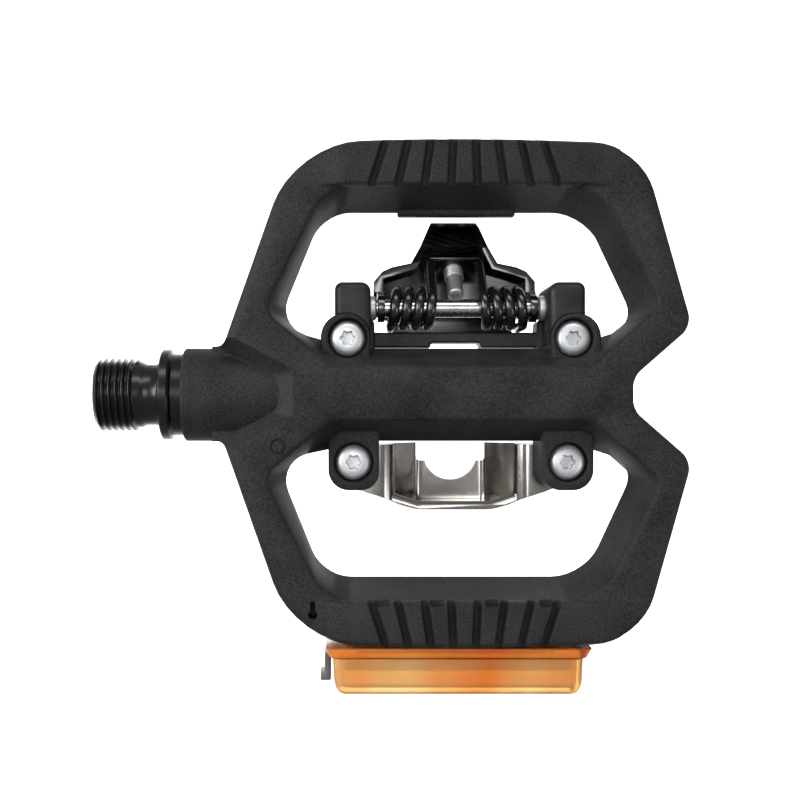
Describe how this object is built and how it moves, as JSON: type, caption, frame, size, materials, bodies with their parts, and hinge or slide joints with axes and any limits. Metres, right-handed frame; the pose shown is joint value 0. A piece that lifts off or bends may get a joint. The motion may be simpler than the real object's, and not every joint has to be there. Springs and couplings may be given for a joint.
{
  "type": "clipless pedal",
  "caption": "Bicycle pedal with an open composite cage, flat on one side and with a sprung two-bolt cleat mechanism on the other, turning on a threaded spindle with bearings.",
  "frame": {"origin": "on the spindle axis, at the flange face that seats on the crank", "axes": "+X outboard along the spindle, +Y towards the sprung jaw, +Z out of the flat side"},
  "size_m": [0.1135, 0.1058, 0.0298],
  "materials": {
    "black_steel": "gloss black on steel",
    "bearing_steel": "ground",
    "zinc_steel": "bright zinc",
    "dark_alloy": "anodised black",
    "seal_rubber": "matt",
    "body_composite": "glass-filled nylon, matt",
    "black_cast": "satin black",
    "dark_nickel": "dark nickel plate",
    "claw_nickel": "dark nickel plate, polished",
    "spring_steel": "gloss black",
    "amber_base": "amber acrylic, darker than the lens",
    "amber_lens": "clear amber",
    "amber_prism": "moulded prisms",
    "latch_plastic": "grey"
  },
  "bodies": {
    "spindle": {"spindle": "black_steel", "inner_races": "bearing_steel", "bearing_spacer": "zinc_steel", "spindle_washer": "zinc_steel", "spindle_lock_nut": "zinc_steel"},
    "pedal": {"pedal_body": "body_composite", "axle_sleeve": "dark_alloy", "lip_seal": "seal_rubber", "needle_cup": "bearing_steel", "outer_races": "bearing_steel", "rear_frame": "black_cast", "jaw_pin": "zinc_steel", "pin_collars": "zinc_steel", "left_spring": "spring_steel", "right_spring": "spring_steel", "front_claw": "claw_nickel", "rear_screws": "zinc_steel", "front_screws": "zinc_steel", "reflector_carrier": "amber_base", "reflex_insert": "amber_prism", "reflector_lens": "amber_lens", "reflector_latch": "latch_plastic"},
    "jaw": {"jaw": "dark_nickel"},
    "tension_bolt": {"tension_bolt": "zinc_steel"},
    "tension_nut": {"tension_nut": "dark_nickel"},
    "rollers": {"needle_rollers": "bearing_steel"},
    "balls": {"bearing_balls": "bearing_steel"}
  },
  "joints": [
    {"name": "pedal_spin", "type": "hinge", "parent": "spindle", "child": "pedal", "pos_m": [0, 0, 0], "axis": [1, 0, 0], "continuous": true},
    {"name": "roller_orbit", "type": "hinge", "parent": "spindle", "child": "rollers", "pos_m": [0, 0, 0], "axis": [1, 0, 0], "continuous": true},
    {"name": "ball_orbit", "type": "hinge", "parent": "spindle", "child": "balls", "pos_m": [0, 0, 0], "axis": [1, 0, 0], "continuous": true},
    {"name": "jaw_pivot", "type": "hinge", "parent": "pedal", "child": "jaw", "pos_m": [0.058, 0.0173, -0.003], "axis": [1, 0, 0], "range_deg": [0, 12], "stiffness_Nm_per_rad": 1, "deforming": ["left_spring", "right_spring"]},
    {"name": "tension_bolt_turn", "type": "hinge", "parent": "jaw", "child": "tension_bolt", "pos_m": [0.058, 0.02, -0.0045], "axis": [0, 0.7314, -0.682], "range_deg": [-540, 540]},
    {"name": "tension_nut_slide", "type": "slide", "parent": "jaw", "child": "tension_nut", "axis": [0, 0.7314, -0.682], "range_m": [-0.00105, 0.00105], "deforming": ["left_spring", "right_spring"]}
  ],
  "couplings": [
    {"joint": "roller_orbit", "follows": "pedal_spin", "ratio": 0.5714},
    {"joint": "ball_orbit", "follows": "pedal_spin", "ratio": 0.57},
    {"joint": "tension_bolt_turn", "follows": "tension_nut_slide", "rad_per_m": 8976}
  ]
}
